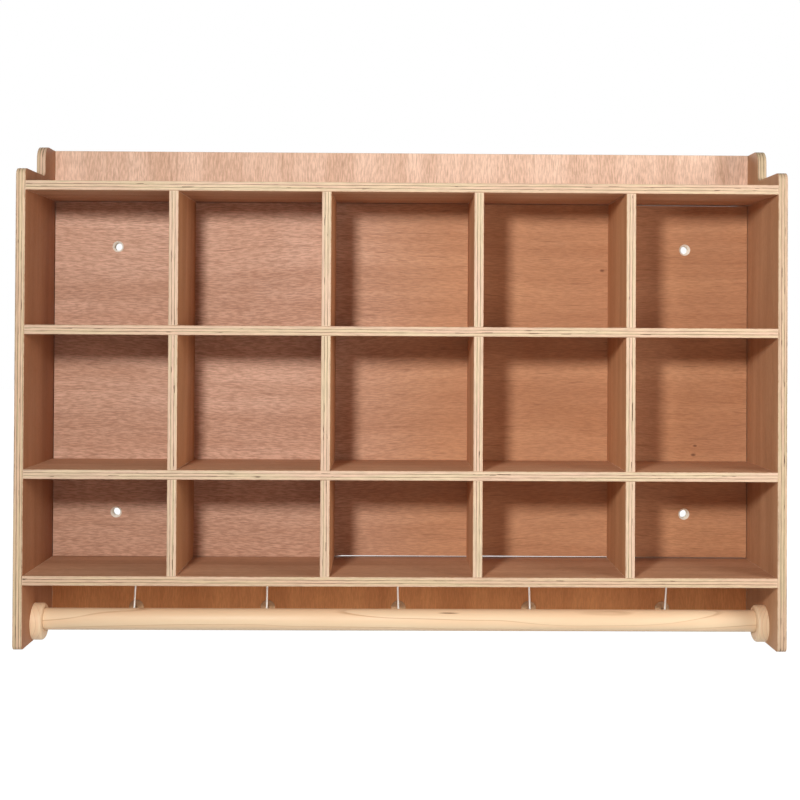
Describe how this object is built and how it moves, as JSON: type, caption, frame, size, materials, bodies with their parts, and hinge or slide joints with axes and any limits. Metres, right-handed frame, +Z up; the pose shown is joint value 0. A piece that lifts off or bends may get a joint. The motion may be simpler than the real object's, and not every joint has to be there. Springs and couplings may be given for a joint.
{
  "type": "school locker",
  "caption": "Open plywood wall locker with cubbies over a coat bay that has a hanging rod and wire coat hooks.",
  "frame": {"origin": "middle of the rear face of the back panel, at half the height and half the width of the case", "axes": "+Y out of the rear face towards the wall, +X to the right as seen from the front, +Z up"},
  "size_m": [1.219, 0.2, 0.81],
  "materials": {
    "plywood": "clear matt lacquer over a pinkish brown face veneer, pale plies on the edges",
    "pine": "turned pine, sanded, clear satin lacquer",
    "hook_steel": "bright zinc plated wire and pressed plate",
    "screw_steel": "zinc plated"
  },
  "bodies": {
    "case": {"left_side": "plywood", "right_side": "plywood", "bottom_shelf": "plywood", "lower_shelf": "plywood", "upper_shelf": "plywood", "top_shelf": "plywood", "divider_bottom_1": "plywood", "divider_bottom_2": "plywood", "divider_bottom_3": "plywood", "divider_bottom_4": "plywood", "divider_middle_1": "plywood", "divider_middle_2": "plywood", "divider_middle_3": "plywood", "divider_middle_4": "plywood", "divider_top_1": "plywood", "divider_top_2": "plywood", "divider_top_3": "plywood", "divider_top_4": "plywood", "back_panel": "plywood", "top_back_board": "plywood", "hook_rail": "plywood", "rod_socket_left": "pine", "rod_socket_right": "pine", "hook_plate_1": "hook_steel", "coat_hook_1": "hook_steel", "hook_plate_2": "hook_steel", "coat_hook_2": "hook_steel", "hook_plate_3": "hook_steel", "coat_hook_3": "hook_steel", "hook_plate_4": "hook_steel", "coat_hook_4": "hook_steel", "hook_plate_5": "hook_steel", "coat_hook_5": "hook_steel", "screw_left_bottom_shelf_1": "screw_steel", "screw_left_bottom_shelf_2": "screw_steel", "screw_left_lower_shelf_1": "screw_steel", "screw_left_lower_shelf_2": "screw_steel", "screw_left_upper_shelf_1": "screw_steel", "screw_left_upper_shelf_2": "screw_steel", "screw_left_top_shelf_1": "screw_steel", "screw_left_top_shelf_2": "screw_steel", "screw_right_bottom_shelf_1": "screw_steel", "screw_right_bottom_shelf_2": "screw_steel", "screw_right_lower_shelf_1": "screw_steel", "screw_right_lower_shelf_2": "screw_steel", "screw_right_upper_shelf_1": "screw_steel", "screw_right_upper_shelf_2": "screw_steel", "screw_right_top_shelf_1": "screw_steel", "screw_right_top_shelf_2": "screw_steel", "screw_back_lower_shelf_1": "screw_steel", "screw_back_lower_shelf_2": "screw_steel", "screw_back_upper_shelf_1": "screw_steel", "screw_back_upper_shelf_2": "screw_steel", "screw_socket_left_front": "screw_steel", "screw_socket_left_rear": "screw_steel", "screw_socket_right_front": "screw_steel", "screw_socket_right_rear": "screw_steel"},
    "rod": {"hanging_rod": "pine"}
  },
  "joints": [
    {"name": "rod_spin", "type": "hinge", "parent": "case", "child": "rod", "pos_m": [0, -0.126, -0.3705], "axis": [1, 0, 0], "continuous": true}
  ]
}
